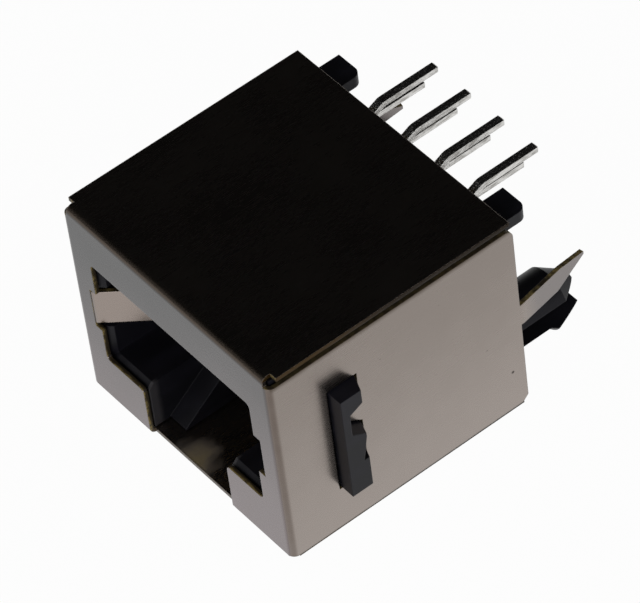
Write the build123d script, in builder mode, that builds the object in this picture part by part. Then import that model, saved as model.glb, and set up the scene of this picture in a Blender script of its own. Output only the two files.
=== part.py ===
# Board jack for an eight-way modular plug: a folded sheet shield around a moulded housing, with a
# moulded insert that carries eight stamped contacts. It lies on its latch side.
# Millimetres. +X runs across the port, +Y points at the board and +Z points away from the latch.
# The origin is on the board's surface, midway between the two pegs.
import os
from math import radians, tan

from build123d import *

# Board footprint, with heights from the pegs
ways = 8
tail_pitch = 1.27
row_spacing = 2.04
peg_to_row = 6.8
peg_to_tab = 3.01
peg_spacing = 11.43
standoff = 1.7

# Plug port
port_width = 12.5
port_height = 6.92
port_corner = 0.3
port_sill = 3.33
port_roof = 3.0
latch_gap = 6.66

# Shield sheet
shield_width = 16.2
shield_depth = 14.9
sheet = 0.25
bend_inside = 0.18
top_seam = 0.33
bottom_seam = 0.1
bottom_inset = 0.2
bend_relief = 0.55
side_overhang = 0.15
rear_round = 0.5
rear_cut = 0.35

# Spring fingers beside the port, each bent in from the front plate
finger_height = 2.25
finger_rise = 3.42
finger_slit = 0.2
finger_root = 6.75
finger_apex = 4.85
finger_reach = 2.35
finger_tip = 5.25
finger_length = 3.4
finger_bend = 0.3

# Solder tabs at the rear edges of the side walls
tab_width = 1.36
tab_length = 3.2
tab_neck = 0.15
tab_root = 0.5
tab_bend = 0.6
tab_low_taper = 2.0
tab_low_cut = 0.88
tab_high_taper = 1.8
tab_high_cut = 0.3
right_tab_lean = 10.0
left_tab_lean = 15.0

# Housing
shield_clearance = 0.1
mouth_step = 0.1
mouth_chamfer = 0.3
cavity_depth = 12.7
latch_depth = 9.5
rail_gap = 4.1
rail_front = 0.95
rail_ramp = 2.4
rail_length = 3.65
rail_low = 0.1
rail_high = 1.95
finger_room = 0.3
slot_front = 0.7
slot_clearance = 0.05

# Snap wedges that hold the shield, through a window in each side wall
wedge_bottom = 3.12
wedge_height = 6.85
wedge_front = 3.35
wedge_flat = 1.25
wedge_slope = 0.35
wedge_proud = 0.9
wedge_cap = 1.27
wedge_notch_height = 1.4
wedge_notch_front = 0.45
wedge_notch_drop = 0.7
wedge_notch_lift = 0.6
wedge_nick_rise = 1.98
wedge_nick_height = 1.5
wedge_nick_depth = 0.3
window_clearance = 0.12

# Standoff pads
pad_width = 1.8
pad_thickness = 0.7
pad_inset = 0.4
pad_corner = 0.5
upper_pad_spacing = 12.6
upper_pad_shift = 0.15
lower_pad_spacing = 6.9

# Board pegs
peg_diameter = 3.05
peg_length = 3.25
peg_slot_above = 0.55
peg_slot_below = 0.9
peg_slot_root = 0.3
peg_tip_length = 1.25
peg_tip_wall = 0.13
barb_shoulder = 1.1
barb_rise = 0.3
barb_height = 0.25
barb_tip_r = 1.15

# Contacts and the insert that carries them
contact_pitch = 1.016
contact_width = 0.46
contact_thickness = 0.33
contact_rise = 1.05
contact_clearance = 0.03
hairpin_front = 1.75
hairpin_height = 1.0
hairpin_bend = 0.3
leg_tip_depth = 8.6
leg_drop = 1.9
tail_length = 3.05
tail_fan = 2.0
tail_bend = 0.7
tail_lead = 0.3
tail_chamfer = 0.08
insert_width = 10.4
insert_depth = 4.4
insert_rise = 0.85
insert_recess = 1.1
insert_clearance = 0.05
jog_margin = 0.5
tongue_depth = 0.45
tongue_height = 0.7

# Levels and stations that follow from the sizes above
rear_y = -standoff
front_y = rear_y - shield_depth
lower_row_z = peg_to_row
run_z = lower_row_z + row_spacing / 2
port_top = run_z - contact_rise
port_bottom = port_top - port_height
shield_bottom = port_bottom - port_sill
shield_top = port_top + port_roof
half_width = shield_width / 2
bend_outside = bend_inside + sheet
side_rear_y = rear_y + side_overhang
side_bottom = shield_bottom + sheet + bottom_seam
side_top = shield_top - sheet - top_seam

body_side = half_width - sheet - shield_clearance
body_bottom = shield_bottom + sheet + shield_clearance
body_top = shield_top - sheet - shield_clearance
body_front = front_y + sheet + shield_clearance
cavity_side = port_width / 2 - mouth_step
cavity_bottom = port_bottom + mouth_step
cavity_top = port_top - mouth_step

wedge_low = shield_bottom + wedge_bottom
wedge_high = wedge_low + wedge_height
wedge_front_y = front_y + wedge_front
wedge_flat_y = wedge_front_y + wedge_flat
wedge_rear_y = wedge_flat_y + wedge_slope
notch_front_y = wedge_front_y + wedge_notch_front
notch_rear_y = wedge_rear_y + window_clearance
notch_high = wedge_high - wedge_cap
notch_low = notch_high - wedge_notch_height

insert_rear_y = rear_y - insert_recess
insert_front_y = insert_rear_y - insert_depth
jog_front_y = insert_front_y + jog_margin
jog_rear_y = insert_rear_y - jog_margin
tail_bend_y = insert_rear_y + tail_lead
insert_bottom = cavity_top + insert_clearance
insert_top = run_z + insert_rise
pocket_side = insert_width / 2 + insert_clearance
peg_r = peg_diameter / 2
peg_tip_r = peg_slot_above + peg_tip_wall


def way_x(way, pitch):
    return (way - (ways - 1) / 2) * pitch


def jog_outline(near_x, far_x, width, overrun):
    left = [
        (near_x - width / 2, insert_front_y - overrun),
        (near_x - width / 2, jog_front_y),
        (far_x - width / 2, jog_rear_y),
        (far_x - width / 2, insert_rear_y + overrun),
    ]
    right = [(x + width, y) for x, y in reversed(left)]
    return left + right


def short_rear_edges(builder):
    rear_edges = builder.edges().filter_by(Axis.X).group_by(Axis.Y)[-1]
    return rear_edges.filter_by(lambda edge: edge.length < half_width)


# Shield, folded from one sheet: the front plate with the top and bottom walls turned back
with BuildPart() as shield:
    with BuildSketch(Plane.YZ):
        with BuildLine():
            FilletPolyline(
                (rear_y, shield_top),
                (front_y, shield_top),
                (front_y, shield_bottom),
                (rear_y, shield_bottom),
                radius=bend_outside,
            )
            offset(amount=sheet, side=Side.LEFT)
        make_face()
    extrude(amount=half_width, both=True)

    # A relief at each end of the top and bottom bends
    with BuildSketch(Plane.XY.offset(shield_bottom)):
        with Locations((0, front_y + bend_relief / 2)):
            with GridLocations(shield_width - bend_outside, 0, 2, 1):
                Rectangle(bend_outside, bend_relief)
    extrude(amount=shield_top - shield_bottom, mode=Mode.SUBTRACT)

    # The bottom wall is the narrower one
    with BuildSketch(Plane.XY.offset(shield_bottom)):
        with Locations((0, (front_y + rear_y) / 2)):
            with GridLocations(shield_width - bottom_inset, 0, 2, 1):
                Rectangle(bottom_inset, shield_depth)
    extrude(amount=sheet, mode=Mode.SUBTRACT)

    # The side walls stand between them, with a seam along each long edge
    with BuildSketch(Plane.XY.offset(side_bottom)):
        with BuildLine():
            FilletPolyline(
                (-half_width, side_rear_y),
                (-half_width, front_y),
                (half_width, front_y),
                (half_width, side_rear_y),
                radius=bend_outside,
            )
            offset(amount=sheet, side=Side.LEFT)
        make_face()
    extrude(amount=side_top - side_bottom)
    fillet(short_rear_edges(shield).group_by(Axis.Z)[-1], rear_round)
    chamfer(short_rear_edges(shield).group_by(Axis.Z)[0], rear_cut)

    # Port, with the latch gap open through the sill and a slit above and below each finger
    with BuildSketch(Plane.XZ.offset(-front_y)):
        with Locations((0, (port_bottom + port_top) / 2)):
            Rectangle(port_width, port_height)
        with Locations((0, (shield_bottom - sheet + port_top) / 2)):
            Rectangle(latch_gap, port_top - shield_bottom + sheet)
        fillet(vertices().filter_by(lambda corner: corner.Y > shield_bottom), port_corner)
        with Locations((0, port_bottom + finger_rise)):
            Rectangle(2 * finger_root, finger_height + 2 * finger_slit)
    extrude(amount=-(sheet + bend_inside / 2), mode=Mode.SUBTRACT)

    # Spring fingers
    for side in (-1, 1):
        with BuildLine(Plane.XY.offset(port_bottom + finger_rise)) as finger:
            FilletPolyline(
                (side * (finger_root + sheet), front_y + sheet / 2),
                (side * finger_root, front_y + sheet / 2),
                (side * finger_apex, front_y + finger_reach),
                (side * finger_tip, front_y + finger_length),
                radius=finger_bend,
            )
        with BuildSketch(Plane(finger.line @ 0, x_dir=(0, 0, 1), z_dir=finger.line % 0)):
            Rectangle(finger_height, sheet)
        sweep()

    # Windows for the snap wedges, each with a tongue that lies in the wedge's notch
    for side in (-1, 1):
        with BuildSketch(Plane.YZ.offset(side * half_width)):
            with BuildLine():
                Polyline(
                    (wedge_front_y - window_clearance, wedge_low - window_clearance),
                    (notch_rear_y, wedge_low - window_clearance),
                    (notch_rear_y, notch_low - wedge_notch_drop + window_clearance),
                    (notch_front_y + window_clearance, notch_low + window_clearance),
                    (notch_front_y + window_clearance, notch_high - window_clearance),
                    (notch_rear_y, notch_high + wedge_notch_lift - window_clearance),
                    (notch_rear_y, wedge_high + window_clearance),
                    (wedge_front_y - window_clearance, wedge_high + window_clearance),
                    close=True,
                )
            make_face()
        extrude(amount=2 * sheet, both=True, mode=Mode.SUBTRACT)

    # Solder tabs, leaning in as they leave the walls, with both corners of the tip cut away
    for side, lean in ((1, right_tab_lean), (-1, left_tab_lean)):
        root_x = half_width - sheet / 2
        tip_x = root_x - (tab_length - side_rear_y - tab_neck) * tan(radians(lean))
        with BuildLine(Plane.XY.offset(peg_to_tab)) as tab:
            FilletPolyline(
                (side * root_x, side_rear_y - tab_root),
                (side * root_x, side_rear_y + tab_neck),
                (side * tip_x, tab_length),
                radius=tab_bend,
            )
        with BuildSketch(Plane(tab.line @ 0, x_dir=(0, 0, 1), z_dir=tab.line % 0)):
            Rectangle(tab_width, sheet)
        sweep()
    with BuildSketch(Plane.YZ):
        for side, taper, cut in ((-1, tab_low_taper, tab_low_cut), (1, tab_high_taper, tab_high_cut)):
            tab_edge = peg_to_tab + side * tab_width / 2
            tip_edge = tab_edge - side * cut
            with BuildLine():
                Polyline(
                    (tab_length - taper, tab_edge + side * sheet),
                    (tab_length - taper, tab_edge),
                    (tab_length, tip_edge),
                    (tab_length + sheet, tip_edge),
                    (tab_length + sheet, tab_edge + side * sheet),
                    close=True,
                )
            make_face()
    extrude(amount=half_width, both=True, mode=Mode.SUBTRACT)
shield.part.label = "shield"

# Housing, one moulding
with BuildPart() as housing:
    with BuildSketch(Plane.XZ.offset(-body_front)):
        with Locations((0, (body_bottom + body_top) / 2)):
            Rectangle(2 * body_side, body_top - body_bottom)
    extrude(amount=body_front - rear_y)

    # Port cavity with a lead-in at its mouth, no larger than its side wall can carry
    lead_in = min(mouth_chamfer, (body_side - cavity_side) / 2)
    with BuildSketch(Plane.XZ.offset(-body_front)):
        with Locations((0, (cavity_bottom + cavity_top) / 2)):
            Rectangle(2 * cavity_side, cavity_top - cavity_bottom)
    extrude(amount=-cavity_depth, mode=Mode.SUBTRACT)
    chamfer(housing.faces().sort_by(Axis.Y)[0].inner_wires().edges(), lead_in)

    # Latch channel, open to the shield's bottom wall
    with BuildSketch(Plane.XZ.offset(-body_front)):
        with Locations((0, (body_bottom + cavity_bottom) / 2)):
            Rectangle(latch_gap, cavity_bottom - body_bottom)
    extrude(amount=-latch_depth, mode=Mode.SUBTRACT)

    # Two ramp rails lift the plug's latch and end in the faces that catch it
    with BuildSketch(Plane.YZ):
        with BuildLine():
            Polyline(
                (body_front + rail_front, body_bottom),
                (body_front + rail_front, body_bottom + rail_low),
                (body_front + rail_front + rail_ramp, body_bottom + rail_high),
                (body_front + rail_front + rail_length, body_bottom + rail_high),
                (body_front + rail_front + rail_length, body_bottom),
                close=True,
            )
        make_face()
    extrude(amount=latch_gap / 2, both=True)
    with BuildSketch(Plane.XZ.offset(-body_front)):
        with Locations((0, (body_bottom + cavity_bottom) / 2)):
            Rectangle(rail_gap, cavity_bottom - body_bottom)
    extrude(amount=-latch_depth, mode=Mode.SUBTRACT)

    # Room for the spring fingers
    with BuildSketch(Plane.XZ.offset(-body_front)):
        with Locations((0, port_bottom + finger_rise)):
            Rectangle(2 * (finger_root + finger_room), finger_height + 2 * finger_room)
    extrude(amount=-(finger_length + finger_room - sheet), mode=Mode.SUBTRACT)

    # Slots in the port's roof, one for each contact
    slot_top = run_z + contact_thickness / 2 + slot_clearance
    slot_width = contact_width + 2 * slot_clearance
    slot_front_y = body_front + slot_front
    with BuildSketch(Plane.XY.offset(cavity_top - mouth_step)):
        with Locations((0, (slot_front_y + insert_front_y) / 2)):
            with GridLocations(contact_pitch, 0, ways, 1):
                Rectangle(slot_width, insert_front_y - slot_front_y)
    extrude(amount=slot_top - cavity_top + mouth_step, mode=Mode.SUBTRACT)

    # Pocket for the contact insert, open at the rear, with a groove in each side
    with BuildSketch(Plane.XZ.offset(-rear_y)):
        with Locations((0, (cavity_top + insert_top + insert_clearance) / 2)):
            Rectangle(2 * pocket_side, insert_top + insert_clearance - cavity_top)
        with Locations((0, run_z)):
            Rectangle(2 * (pocket_side + tongue_depth), tongue_height + 2 * insert_clearance)
    extrude(amount=rear_y - insert_front_y + insert_clearance, mode=Mode.SUBTRACT)

    # Snap wedges with a square front and a sloped rear
    with BuildSketch(Plane.XY.offset(wedge_low)):
        wedge_side = half_width + wedge_proud
        with BuildLine():
            Polyline(
                (body_side - wedge_slope, wedge_front_y),
                (wedge_side, wedge_front_y),
                (wedge_side, wedge_flat_y),
                (half_width, wedge_rear_y),
                (body_side - wedge_slope, wedge_rear_y),
                close=True,
            )
        make_face()
        mirror(about=Plane.YZ)
    extrude(amount=wedge_height)
    for side in (-1, 1):
        with BuildSketch(Plane.YZ.offset(side * body_side)):
            with BuildLine():
                Polyline(
                    (notch_front_y, notch_low),
                    (notch_rear_y, notch_low - wedge_notch_drop),
                    (notch_rear_y, notch_high + wedge_notch_lift),
                    (notch_front_y, notch_high),
                    close=True,
                )
            make_face()
        extrude(amount=side * (sheet + shield_clearance + wedge_proud), mode=Mode.SUBTRACT)
        with BuildSketch(Plane.YZ.offset(side * half_width)):
            with BuildLine():
                Polyline(
                    (wedge_flat_y - wedge_nick_depth, wedge_low + wedge_nick_rise),
                    (notch_rear_y, wedge_low + wedge_nick_rise),
                    (notch_rear_y, wedge_low + wedge_nick_rise + wedge_nick_height),
                    (wedge_flat_y, wedge_low + wedge_nick_rise + wedge_nick_height),
                    close=True,
                )
            make_face()
        extrude(amount=side * wedge_proud, mode=Mode.SUBTRACT)

    # Standoff pads that end on the board, each with its right-hand corner rounded
    upper_pads = (upper_pad_spacing, upper_pad_shift, body_top - pad_inset - pad_thickness)
    lower_pads = (lower_pad_spacing, 0, body_bottom + pad_inset)
    for pad_spacing, pad_shift, pad_z in (upper_pads, lower_pads):
        with BuildSketch(Plane.XY.offset(pad_z)):
            with Locations((pad_shift, (rear_y - pad_width) / 2)):
                with GridLocations(pad_spacing, 0, 2, 1):
                    Rectangle(pad_width, standoff + pad_width)
            board_corners = vertices().group_by(Axis.Y)[-1].sort_by(Axis.X)
            fillet(board_corners[1::2], pad_corner)
        extrude(amount=pad_thickness)

    # Board pegs, each a pointed post, split across by a slot, with a barb under its lower half
    for peg_x in (-peg_spacing / 2, peg_spacing / 2):
        peg_axis = Axis((peg_x, 0, 0), (0, 1, 0))
        with BuildSketch(Plane.XY):
            with BuildLine():
                Polyline(
                    (peg_x, rear_y - peg_r),
                    (peg_x + peg_r, rear_y - peg_r),
                    (peg_x + peg_r, peg_length - peg_tip_length),
                    (peg_x + peg_tip_r, peg_length),
                    (peg_x, peg_length),
                    close=True,
                )
            make_face()
        revolve(axis=peg_axis)
        with BuildSketch(Plane.XY):
            with BuildLine():
                Polyline(
                    (peg_x, barb_shoulder),
                    (peg_x + peg_r, barb_shoulder),
                    (peg_x + peg_r + barb_height, barb_shoulder + barb_rise),
                    (peg_x + barb_tip_r, peg_length),
                    (peg_x, peg_length),
                    close=True,
                )
            make_face()
        revolve(axis=peg_axis, revolution_arc=180)
    with BuildSketch(Plane.XY.offset(-peg_slot_below)):
        slot_length = peg_length + standoff - peg_slot_root
        with GridLocations(peg_spacing, 0, 2, 1):
            with Locations((0, peg_length - slot_length / 2)):
                Rectangle(peg_diameter + 2 * barb_height, slot_length)
    extrude(amount=peg_slot_above + peg_slot_below, mode=Mode.SUBTRACT)
housing.part.label = "housing"

# Contact insert, with a tongue along each side and a closed channel for each contact
with BuildPart() as contact_insert:
    with BuildSketch(Plane.XZ.offset(-insert_front_y)):
        with Locations((0, (insert_bottom + insert_top) / 2)):
            Rectangle(insert_width, insert_top - insert_bottom)
        with Locations((0, run_z)):
            Rectangle(insert_width + 2 * tongue_depth, tongue_height)
    extrude(amount=-insert_depth)
    channel_width = contact_width + 2 * contact_clearance
    channel_height = contact_thickness + 2 * contact_clearance
    for way in range(ways):
        near_x = way_x(way, contact_pitch)
        far_x = way_x(way, tail_pitch)
        with BuildSketch(Plane.XY.offset(run_z - channel_height / 2)):
            with BuildLine():
                Polyline(*jog_outline(near_x, far_x, channel_width, contact_clearance), close=True)
            make_face()
        extrude(amount=channel_height, mode=Mode.SUBTRACT)
contact_insert.part.label = "contact_insert"

# Contacts: a hairpin spring in the port, a jog from the plug's pitch to the board's, and a tail
contacts = []
for way in range(ways):
    near_x = way_x(way, contact_pitch)
    far_x = way_x(way, tail_pitch)
    row_z = lower_row_z + row_spacing * (way % 2)
    with BuildPart() as contact:
        with BuildLine(Plane.YZ.offset(near_x)) as spring:
            FilletPolyline(
                (insert_front_y, run_z),
                (front_y + hairpin_front, run_z),
                (front_y + hairpin_front, run_z - hairpin_height),
                (front_y + leg_tip_depth, run_z - hairpin_height - leg_drop),
                radius=hairpin_bend,
            )
        with BuildSketch(Plane(spring.line @ 0, x_dir=(1, 0, 0), z_dir=spring.line % 0)):
            Rectangle(contact_width, contact_thickness)
        sweep()
        with BuildSketch(Plane.XY.offset(run_z - contact_thickness / 2)):
            with BuildLine():
                Polyline(*jog_outline(near_x, far_x, contact_width, 0), close=True)
            make_face()
        extrude(amount=contact_thickness)
        with BuildLine(Plane.YZ.offset(far_x)) as tail:
            FilletPolyline(
                (insert_rear_y, run_z),
                (tail_bend_y, run_z),
                (tail_bend_y + tail_fan, row_z),
                (tail_length, row_z),
                radius=tail_bend,
            )
        with BuildSketch(Plane(tail.line @ 0, x_dir=(1, 0, 0), z_dir=tail.line % 0)):
            Rectangle(contact_width, contact_thickness)
        sweep()
        chamfer(contact.faces().sort_by(Axis.Y)[-1].edges(), tail_chamfer)
    contact.part.label = f"contact_{way + 1}"
    contacts.append(contact)

os.makedirs("parts", exist_ok=True)
export_step(shield.part, "parts/shield.step")
export_step(housing.part, "parts/housing.step")
export_step(contact_insert.part, "parts/contact_insert.step")
for contact in contacts:
    export_step(contact.part, f"parts/{contact.part.label}.step")
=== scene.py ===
import math

import bpy
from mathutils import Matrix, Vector


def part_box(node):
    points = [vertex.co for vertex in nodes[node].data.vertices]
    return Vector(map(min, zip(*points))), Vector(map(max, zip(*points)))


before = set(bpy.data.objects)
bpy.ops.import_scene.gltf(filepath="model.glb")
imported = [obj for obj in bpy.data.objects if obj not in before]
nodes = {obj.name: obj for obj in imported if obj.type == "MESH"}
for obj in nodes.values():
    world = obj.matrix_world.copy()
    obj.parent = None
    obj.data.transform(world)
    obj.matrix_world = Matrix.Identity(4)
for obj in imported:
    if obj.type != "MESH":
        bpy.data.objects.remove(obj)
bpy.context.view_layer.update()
scene = bpy.context.scene
millimetres = 1000.0  # in a metre
print("stage: frame loaded,", len(nodes), "nodes")


class Wire:  # a socket that takes part in sums
    def __init__(self, tree, socket):
        self.tree = tree
        self.socket = socket

    def maths(self, operation, first, second=0.0):
        return self.tree.node("ShaderNodeMath", {"operation": operation}, {0: first, 1: second})

    def __add__(self, other):
        return self.maths("ADD", self, other)

    def __radd__(self, other):
        return self.maths("ADD", other, self)

    def __sub__(self, other):
        return self.maths("SUBTRACT", self, other)

    def __rsub__(self, other):
        return self.maths("SUBTRACT", other, self)

    def __mul__(self, other):
        return self.maths("MULTIPLY", self, other)

    def __rmul__(self, other):
        return self.maths("MULTIPLY", other, self)

    def __truediv__(self, other):
        return self.maths("DIVIDE", self, other)

    def __rtruediv__(self, other):
        return self.maths("DIVIDE", other, self)

    def __gt__(self, other):
        return self.maths("GREATER_THAN", self, other)

    def __lt__(self, other):
        return self.maths("LESS_THAN", self, other)

    def __or__(self, other):
        return self.maths("MAXIMUM", self, other)

    def __ror__(self, other):
        return self.maths("MAXIMUM", other, self)

    def __and__(self, other):
        return self.maths("MINIMUM", self, other)

    def __rand__(self, other):
        return self.maths("MINIMUM", other, self)

    def __abs__(self):
        return self.maths("ABSOLUTE", self)

    def swing(self, width):  # noise as a swing to either side of nothing
        return width * (self - 0.5)


class Tree:  # a node tree that is filled one node at a time
    def __init__(self, owner):
        owner.use_nodes = True
        self.nodes = owner.node_tree.nodes
        self.links = owner.node_tree.links
        self.nodes.clear()

    def node(self, kind, settings, sockets, outlet=0):
        made = self.nodes.new(kind)
        for name, value in settings.items():
            setattr(made, name, value)
        for name, value in sockets.items():
            if isinstance(value, Wire):
                self.links.new(value.socket, made.inputs[name])
            else:
                made.inputs[name].default_value = value
        return Wire(self, made.outputs[outlet]) if len(made.outputs) else made

    def blend(self, amount, first, second):  # colours
        first, second = (c if isinstance(c, Wire) else (*c, 1.0) for c in (first, second))
        sockets = {0: amount, 6: first, 7: second}
        return self.node("ShaderNodeMix", {"data_type": "RGBA"}, sockets, 2)

    def vector(self, operation, sockets, outlet="Vector"):
        return self.node("ShaderNodeVectorMath", {"operation": operation}, sockets, outlet)

    def stretch(self, vector, by):
        return self.vector("MULTIPLY", {0: vector, 1: by})

    def axis(self, vector, letter):
        return self.node("ShaderNodeSeparateXYZ", {}, {0: vector}, letter)

    def noise(self, vector, scale, detail=3.0):
        sockets = {"Vector": vector, "Scale": scale, "Detail": detail}
        return self.node("ShaderNodeTexNoise", {}, sockets)

    def rise(self, value, low, high):  # 0 below low, 1 above high, soft between
        settings = {"interpolation_type": "SMOOTHSTEP"}
        return self.node("ShaderNodeMapRange", settings, {0: value, 1: low, 2: high})


def newFinish(name):
    material = bpy.data.materials.new(name)
    tree = Tree(material)
    place = tree.node("ShaderNodeTexCoord", {}, {}, "Object")
    place = tree.stretch(place, (millimetres, millimetres, millimetres))
    return material, tree, place


def grained(tree, finish, height):  # grain over softened edges
    soft = {"Radius": finish["edgeRound"] / millimetres}
    sockets = {
        "Height": height,
        "Strength": finish["grainStrength"],
        "Distance": finish["grainDepth"] / millimetres,
        "Normal": tree.node("ShaderNodeBevel", {"samples": 6}, soft),
    }
    return tree.node("ShaderNodeBump", {}, sockets)


def surface(tree, sockets):
    shader = tree.node("ShaderNodeBsdfPrincipled", {}, sockets)
    tree.node("ShaderNodeOutputMaterial", {}, {"Surface": shader})


def dress(nodeName, material):
    for slot in nodes[nodeName].material_slots:
        slot.material = material


# the folded can: satin nickel over brass, with bare tarnished brass at its cut edges
nickel = {
    "wallShadeLow": (0.328, 0.287, 0.261),
    "wallShadeHigh": (0.252, 0.218, 0.195),  # painted shade: the walls are darker towards the top
    "plateShadeLow": (0.208, 0.178, 0.180),  # painted shade: the front plate is cooler and darker than the walls
    "plateShadeHigh": (0.078, 0.077, 0.077),  # and painted darker still towards its far top corner
    "fingerColour": (0.312, 0.264, 0.236),
    "tabColour": (0.222, 0.202, 0.195),
    "brassColour": (0.270, 0.205, 0.075),
    "tarnishColour": (0.036, 0.026, 0.013),
    # the seams' cut edges: tarnished brass under painted shade, deepest towards the rear
    "seamShadeColour": (0.016, 0.010, 0.005),
    "seamBrassShadeColour": (0.049, 0.028, 0.008),
    # painted shade along the side and top bends
    "bendShadeColour": (0.150, 0.121, 0.104),
    "topBendShadeColour": (0.085, 0.068, 0.055),
    # painted shade at the walls' top and foot, and tarnish on the sill's cut edge
    "shadeAndTarnishColour": (0.085, 0.066, 0.050),
    # a painted pool of light on the sill
    "lightPoolColour": (0.222, 0.176, 0.098),
    "speckColour": (0.035, 0.030, 0.025),
    "roughness": 0.28,
    "edgeRoughness": 0.45,
    "lightPoolRoughness": 0.60,
    "edgeDulling": 0.6,  # how far bare edges and the painted pool of light lose their metal look
    "lightPoolDulling": 0.75,
    "wallShadeAmount": 0.85,
    "pitAmount": 0.6,
    "speckAmount": 0.9,
    # painted shade on the walls' top cut edges under the top sheet
    "lipShade": 0.8,
    # a painted highlight along the front of the port's cut edges
    "glintLeast": 0.25,
    "plateLean": 0.35,  # tilts the plate's painted shade towards the far corner
    # noise, per millimetre
    "cloudScale": 0.22,
    "patchScale": 0.9,
    "fineScale": 30.0,
    "pitScale": 0.5,
    "brassScale": 2.8,
    "glintScale": 3.4,
    "grainStretch": (14.0, 1.1, 14.0),
    "smearStretch": (2.2, 0.9, 1.0),
    # sizes and places in millimetres
    "grainDepth": 0.0009,
    "grainStrength": 0.3,
    "edgeRound": 0.08,
    "bendRound": 0.43,
    "front": -16.6,
    "plateBack": -16.3,
    "edgeBack": -16.2,  # cut edges ahead of this are the port's
    "halfWidth": 8.1,
    "wallFrom": 8.0,
    "portHalf": 7.5,
    "sillHalf": 3.4,
    "top": 9.77,
    "bottom": -3.48,
    "levelEdges": (-3.15, 9.46),  # level cut edges lie between these
    "seams": (-3.2, 9.5),  # the seams' edges lie beyond these
    "lipFrom": 9.0,
    "fingerRoot": 6.9,
    "fingerFront": -16.5,
    "fingerMiddle": 3.27,
    "fingerHalf": 1.2,
    "speck": (8.1, -2.36, -0.55),
    "lightPool": (-0.35, -16.35, -3.23),  # the middle of a painted pool of light on the sill
    "lightPoolShape": (0.85, 0.72, 1.0),
    "lightPoolBelow": -3.1,
    # how squarely a face looks along an axis
    "edgeFacing": 0.7,
    "wallFacing": 0.8,
    "plateFacing": 0.9,
    # where a change starts and where it is complete
    "sideBendFade": (0.14, 0.50),
    "topBendFade": (0.0, 0.45),
    "shadeUnderSeam": (8.85, 9.23),
    "shadeAtFoot": (-3.18, -3.03),
    "speckFade": (0.115, 0.17),
    "lightPoolFade": (0.0, 1.45),
    "pitFade": (0.012, 0.03),
    "wallShadeFade": (-5.0, 10.0),
    "plateShadeFade": (-5.0, 10.5),
    "tabFade": (-1.5, 0.0),
    "brassFade": (0.34, 0.70),
    "glintFade": (-16.58, -16.44),
    "glintPatches": (0.40, 0.60),
    "seamFade": (-15.0, -8.0),
}
shieldFinish, tree, place = newFinish("satinNickel")
x, y, z = [tree.axis(place, letter) for letter in "XYZ"]
across = abs(x)
facing = tree.node("ShaderNodeTexCoord", {}, {}, "Normal")
nx, ny, nz = [abs(tree.axis(facing, letter)) for letter in "XYZ"]
cloud = tree.noise(place, nickel["cloudScale"], 2.0)
patch = tree.noise(place, nickel["patchScale"], 4.0)
grain = tree.noise(tree.stretch(place, nickel["grainStretch"]), 1.0)
fine = tree.noise(place, nickel["fineScale"], 2.0)
smear = tree.noise(tree.stretch(place, nickel["smearStretch"]), 1.0, 4.0)

# the plate, the walls and the fingers
plate = (ny > nickel["plateFacing"]) & (y < nickel["plateBack"])
wall = (nx > nickel["wallFacing"]) & (across > nickel["wallFrom"])
finger = (across < nickel["fingerRoot"]) & (y > nickel["fingerFront"])
finger = finger & (abs(z - nickel["fingerMiddle"]) < nickel["fingerHalf"])

# cut edges
sideways, endways, level = [part > nickel["edgeFacing"] for part in (nx, ny, nz)]
ahead, behind = y < nickel["edgeBack"], y > nickel["edgeBack"]
lowEdge, highEdge = nickel["levelEdges"]
lowSeam, highSeam = nickel["seams"]
levelEdge = level & (z > lowEdge) & (z < highEdge)
rearEdge = endways & behind
portEdge = (nx > nickel["plateFacing"]) & (across < nickel["portHalf"]) & ahead
sheetEdge = sideways & ((z > highSeam) | (z < lowSeam))
sillEdge = endways & ahead & (z < lowEdge) & (across < nickel["sillHalf"])
bareEdge = levelEdge | rearEdge | portEdge
cutEdge = bareEdge | sheetEdge
lip = levelEdge & (z > nickel["lipFrom"])

# painted shade on the bends: each way runs from 0 to 1 over its bend, so a product peaks
# halfway round
bend = nickel["bendRound"]
forward = (nickel["front"] + bend - y) / bend | 0.0
outward = (across - (nickel["halfWidth"] - bend)) / bend | 0.0
upward = (z - (nickel["top"] - bend)) / bend | 0.0
downward = (nickel["bottom"] + bend - z) / bend | 0.0
sideBendShade = tree.rise(forward * (outward | downward), *nickel["sideBendFade"])
topBendShade = tree.rise(forward * upward, *nickel["topBendFade"])

# painted shade along the walls' top and foot, a painted pool of light on the sill, one dark
# speck and scattered pits
shadeUnderSeam = tree.rise(z + patch.swing(0.16), *nickel["shadeUnderSeam"])
shadeAtFoot = 1 - tree.rise(z + patch.swing(0.10), *nickel["shadeAtFoot"])
wallShade = wall * (shadeUnderSeam | shadeAtFoot)
# a painted pool of light on the sill, also made rougher and less metallic
fromLightPool = tree.vector("SUBTRACT", {0: place, 1: nickel["lightPool"]})
fromLightPool = tree.stretch(fromLightPool, nickel["lightPoolShape"])
lightPoolGap = tree.vector("LENGTH", {0: fromLightPool}, "Value")
lightPool = 1 - tree.rise(lightPoolGap + patch.swing(0.6) + smear.swing(1.3), *nickel["lightPoolFade"])
lightPool = lightPool * level * (z < nickel["lightPoolBelow"])
speckGap = tree.vector("DISTANCE", {0: place, 1: nickel["speck"]}, "Value")
speck = 1 - tree.rise(speckGap + 0.12 * patch, *nickel["speckFade"])
pitSockets = {"Vector": place, "Scale": nickel["pitScale"]}
pitGap = tree.node("ShaderNodeTexVoronoi", {}, pitSockets, "Distance")
pits = (1 - tree.rise(pitGap, *nickel["pitFade"])) * (1 - cutEdge)

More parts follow.
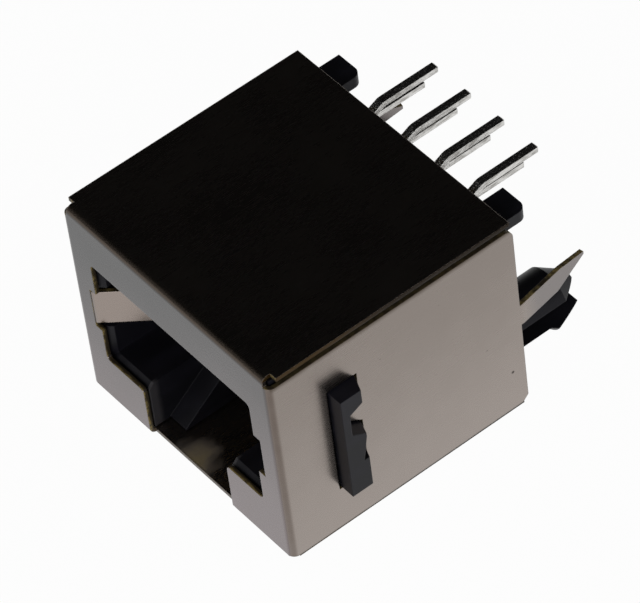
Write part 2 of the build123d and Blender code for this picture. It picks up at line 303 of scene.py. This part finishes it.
# plated faces in painted shade, then painted shade on the bends and at the walls' top and foot,
# tarnish on the sill's edge and a painted pool of light on the sill over them
# painted shade: the plated tone darkens towards the top
shade = tree.rise(z + cloud.swing(5.0) + patch.swing(2.0), *nickel["wallShadeFade"])
tone = tree.blend(shade, nickel["wallShadeLow"], nickel["wallShadeHigh"])
tone = tree.blend(finger, tone, nickel["fingerColour"])
tone = tree.blend(tree.rise(y, *nickel["tabFade"]), tone, nickel["tabColour"])
# painted shade: the front plate darker than the walls, and darker towards its far top corner
plateShade = z - nickel["plateLean"] * x + cloud.swing(2.0)
plateShade = tree.rise(plateShade, *nickel["plateShadeFade"])
plateShadeTone = tree.blend(plateShade, nickel["plateShadeLow"], nickel["plateShadeHigh"])
tone = tree.blend(plate, tone, plateShadeTone)
bendShadeAmount = 0.55 + 0.4 * patch + 0.025 * z  # painted shade, stronger towards the top
tone = tree.blend(sideBendShade * bendShadeAmount, tone, nickel["bendShadeColour"])
tone = tree.blend(topBendShade, tone, nickel["topBendShadeColour"])
# painted shade at the walls' top and foot, tarnish on the sill's cut edge
tone = tree.blend(nickel["wallShadeAmount"] * wallShade | sillEdge, tone, nickel["shadeAndTarnishColour"])
# the painted pool of light on the sill
tone = tree.blend(lightPool, tone, nickel["lightPoolColour"])

# bare brass at the cut edges, with a painted highlight along the front of the port's edges
glint = 1 - tree.rise(y + patch.swing(0.25), *nickel["glintFade"])
glintPatches = tree.rise(tree.noise(place, nickel["glintScale"]), *nickel["glintPatches"])
glint = glint * (nickel["glintLeast"] + glintPatches)
brass = tree.rise(tree.noise(place, nickel["brassScale"], 4.0), *nickel["brassFade"])
# painted shade darkens the walls' top cut edges under the top sheet
brass = behind * brass * (1 - nickel["lipShade"] * lip) + glint
edgeTone = tree.blend(brass, nickel["tarnishColour"], nickel["brassColour"])
tone = tree.blend(cutEdge, tone, edgeTone)
# the seams' cut edges: tarnished brass under painted shade, deepest towards the rear
seamShade = tree.rise(y + patch.swing(2.0), *nickel["seamFade"])
seamShadeTone = tree.blend(seamShade, nickel["seamBrassShadeColour"], nickel["seamShadeColour"])
tone = tree.blend(sheetEdge, tone, seamShadeTone)
specks = (speck | nickel["pitAmount"] * pits) * nickel["speckAmount"]
tone = tree.blend(specks, tone, nickel["speckColour"])

rough = nickel["roughness"] + cloud.swing(0.08) + grain.swing(0.10)
rough = rough + (nickel["edgeRoughness"] - nickel["roughness"]) * cutEdge
rough = rough + (nickel["lightPoolRoughness"] - nickel["roughness"]) * lightPool
metal = 1 - (nickel["lightPoolDulling"] * lightPool | nickel["edgeDulling"] * bareEdge)
normal = grained(tree, nickel, grain * 0.5 + fine * 0.5)
surface(tree, {"Base Color": tone, "Roughness": rough, "Metallic": metal, "Normal": normal})
dress("shield", shieldFinish)
print("stage: shield finished")

# the black moulding
moulding = {
    "colour": (0.0044, 0.0043, 0.0060),
    "greyColour": (0.0088, 0.0085, 0.0125),
    "greyFade": (0.38, 0.68),
    "mouthColour": (0.034, 0.032, 0.035),  # paler on the latch channel's sides near its mouth
    "mouthFade": (-15.95, -15.55),
    "mouthHalf": 0.15,
    "channel": 3.33,
    "roughness": 0.42,
    "gloss": 0.155,
    "cloudScale": 0.35,
    "flowStretch": (1.2, 0.25, 1.2),
    "fineScale": 22.0,
    "grainDepth": 0.006,
    "grainStrength": 0.30,
    "edgeRound": 0.07,
    "shift": (0.0, 0.0, 0.0),  # of the noise, so that two mouldings differ
}


def mouldedBlack(name, finish):
    material, tree, place = newFinish(name)
    across, y = abs(tree.axis(place, "X")), tree.axis(place, "Y")
    place = tree.vector("ADD", {0: place, 1: finish["shift"]})
    cloud = tree.noise(place, finish["cloudScale"])
    flow = tree.noise(tree.stretch(place, finish["flowStretch"]), 1.0, 4.0)
    fine = tree.noise(place, finish["fineScale"])
    grey = tree.rise(0.5 * cloud + 0.5 * flow, *finish["greyFade"])
    tone = tree.blend(grey, finish["colour"], finish["greyColour"])
    paleMouth = 1 - tree.rise(y + flow.swing(0.3), *finish["mouthFade"])
    paleMouth = paleMouth * (abs(across - finish["channel"]) < finish["mouthHalf"])
    tone = tree.blend(paleMouth, tone, finish["mouthColour"])
    surface(tree, {
        "Base Color": tone,
        "Roughness": finish["roughness"] + flow.swing(0.10) + fine.swing(0.14),
        "Specular IOR Level": finish["gloss"],
        "Normal": grained(tree, finish, fine),
    })
    return material


dress("housing", mouldedBlack("mouldedBlack", moulding))
print("stage: housing finished")

# the insert behind the port's roof is moulded from the same black, a little smoother
insertMoulding = dict(moulding, roughness=0.36, grainDepth=0.004, shift=(31.0, 7.0, 12.0))
dress("contact_insert", mouldedBlack("insertBlack", insertMoulding))
print("stage: contact insert finished")

# the contacts: gold-flashed where the plug touches, tinned where the solder goes
contactMetal = {
    "tinColour": (0.66, 0.65, 0.63),
    "dullTinColour": (0.34, 0.33, 0.31),
    "goldColour": (0.66, 0.46, 0.17),
    "tinFade": (-4.7, -4.5),  # from gold to tin, along the contact
    "dullFade": (0.42, 0.66),
    "speckFade": (0.58, 0.70),
    "tinRoughness": 0.27,
    "speckRoughness": 0.22,  # added where the tin is grainy
    "goldRoughness": 0.24,
    "cloudScale": 1.6,
    "streakStretch": (5.0, 1.6, 5.0),
    "drawnStretch": (16.0, 2.5, 16.0),
    "fineScale": 10.0,
    "grainDepth": 0.050,
    "grainStrength": 0.6,
    "edgeRound": 0.04,
}
contactFinish, tree, place = newFinish("tinnedAndGold")
cloud = tree.noise(place, contactMetal["cloudScale"])
streak = tree.noise(tree.stretch(place, contactMetal["streakStretch"]), 1.0)
drawn = tree.noise(tree.stretch(place, contactMetal["drawnStretch"]), 1.0)
fine = tree.noise(place, contactMetal["fineScale"], 2.0)
tinned = tree.rise(tree.axis(place, "Y") + cloud.swing(0.3), *contactMetal["tinFade"])
dull = tree.rise(0.65 * streak + 0.35 * drawn, *contactMetal["dullFade"])
tin = tree.blend(dull, contactMetal["tinColour"], contactMetal["dullTinColour"])
tone = tree.blend(tinned, contactMetal["goldColour"], tin)
speckled = tinned * tree.rise(fine, *contactMetal["speckFade"])
tinStep = contactMetal["tinRoughness"] - contactMetal["goldRoughness"]
rough = contactMetal["goldRoughness"] + tinStep * tinned + drawn.swing(0.16)
rough = rough + contactMetal["speckRoughness"] * speckled
pitted = (drawn * 0.4 + fine * 0.6) * (0.2 + 0.8 * tinned)
normal = grained(tree, contactMetal, pitted)
surface(tree, {"Base Color": tone, "Roughness": rough, "Metallic": 1.0, "Normal": normal})
for name in nodes:
    if name.startswith("contact_") and name != "contact_insert":
        dress(name, contactFinish)
print("stage: contacts finished")

# a pale table top that the part lies on
table = {"colour": (0.80, 0.80, 0.80), "half": 0.6, "whiteShare": 0.97}
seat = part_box("shield")[0].z  # the level that the can lies on
half = table["half"]
corners = [(-half, -half), (half, -half), (half, half), (-half, half)]
floorMesh = bpy.data.meshes.new("table")
floorMesh.from_pydata([(*corner, seat) for corner in corners], [], [(0, 1, 2, 3)])
floor = bpy.data.objects.new("table", floorMesh)
scene.collection.objects.link(floor)
tableTop = bpy.data.materials.new("paleTable")
tree = Tree(tableTop)
rays = ("Is Camera Ray", "Is Glossy Ray", "Is Transmission Ray")
direct, mirrored, through = [tree.node("ShaderNodeLightPath", {}, {}, ray) for ray in rays]
seen = direct | mirrored | through
board = tree.node("ShaderNodeBsdfDiffuse", {}, {"Color": (*table["colour"], 1.0)})
white = tree.node("ShaderNodeEmission", {}, {"Color": (1.0, 1.0, 1.0, 1.0), "Strength": 1.0})
shares = {0: table["whiteShare"] * seen, 1: board, 2: white}
mixed = tree.node("ShaderNodeMixShader", {}, shares)
tree.node("ShaderNodeOutputMaterial", {}, {"Surface": mixed})
floorMesh.materials.append(tableTop)
print("stage: table laid")

# a plain room: white at the horizon, soft grey above it, dark overhead and behind the part
room = {
    "white": (1.0, 1.0, 1.0),
    "grey": (0.32, 0.32, 0.325),
    "dark": (0.003, 0.003, 0.003),
    "darkTowards": (-0.567, 0.370, 0.736),
    "darkFade": (-0.27, 0.20),
    "greyFade": (0.07, 0.13),
}
world = bpy.data.worlds.new("room")
scene.world = world
tree = Tree(world)
look = tree.node("ShaderNodeTexCoord", {}, {}, "Generated")
turned = tree.vector("DOT_PRODUCT", {0: look, 1: room["darkTowards"]}, "Value")
glow = tree.blend(tree.rise(turned, *room["darkFade"]), room["grey"], room["dark"])
aboveHorizon = tree.rise(tree.axis(look, "Z"), *room["greyFade"])
glow = tree.blend(aboveHorizon, room["white"], glow)
air = tree.node("ShaderNodeBackground", {}, {"Color": glow, "Strength": 1.0})
tree.node("ShaderNodeOutputWorld", {}, {"Surface": air})
print("stage: room set")

# place, size and power of each soft lamp
lamps = {
    "rightLamp": ((0.66, -0.30, 0.34), (1.1, 0.5), 2.8),
    "frontLamp": ((0.09, -0.72, 0.36), (1.1, 0.5), 2.4),
    "rearLamp": ((0.42, 0.70, 0.24), (0.8, 0.36), 2.0),
    "leftLamp": ((-0.78, -0.26, 0.20), (0.5, 0.34), 1.3),
}
aim = Vector((0.0, -0.008, 0.003))  # near the part's middle
for name, (spot, size, power) in lamps.items():
    lamp = bpy.data.lights.new(name, "AREA")
    lamp.shape = "RECTANGLE"
    lamp.size, lamp.size_y = size
    lamp.energy = power
    holder = bpy.data.objects.new(name, lamp)
    holder.location = spot
    holder.rotation_euler = (aim - Vector(spot)).to_track_quat("-Z", "Y").to_euler()
    scene.collection.objects.link(holder)
print("stage: lamps set")

# the photograph's view
view = {
    "place": (0.148189, -0.104156, 0.195013),
    "turn": (42.2538, 5.3909, 51.0432),
    "lens": 298.566,
    "sensor": 36.0,
    "nearest": 0.01,
    "farthest": 10.0,
}
camera = bpy.data.cameras.new("camera")
camera.lens = view["lens"]
camera.sensor_width = view["sensor"]
camera.sensor_fit = "HORIZONTAL"
camera.clip_start = view["nearest"]
camera.clip_end = view["farthest"]
eye = bpy.data.objects.new("camera", camera)
eye.location = view["place"]
eye.rotation_euler = [math.radians(angle) for angle in view["turn"]]
scene.collection.objects.link(eye)
scene.camera = eye
scene.view_settings.view_transform = "Standard"
print("stage: camera set")
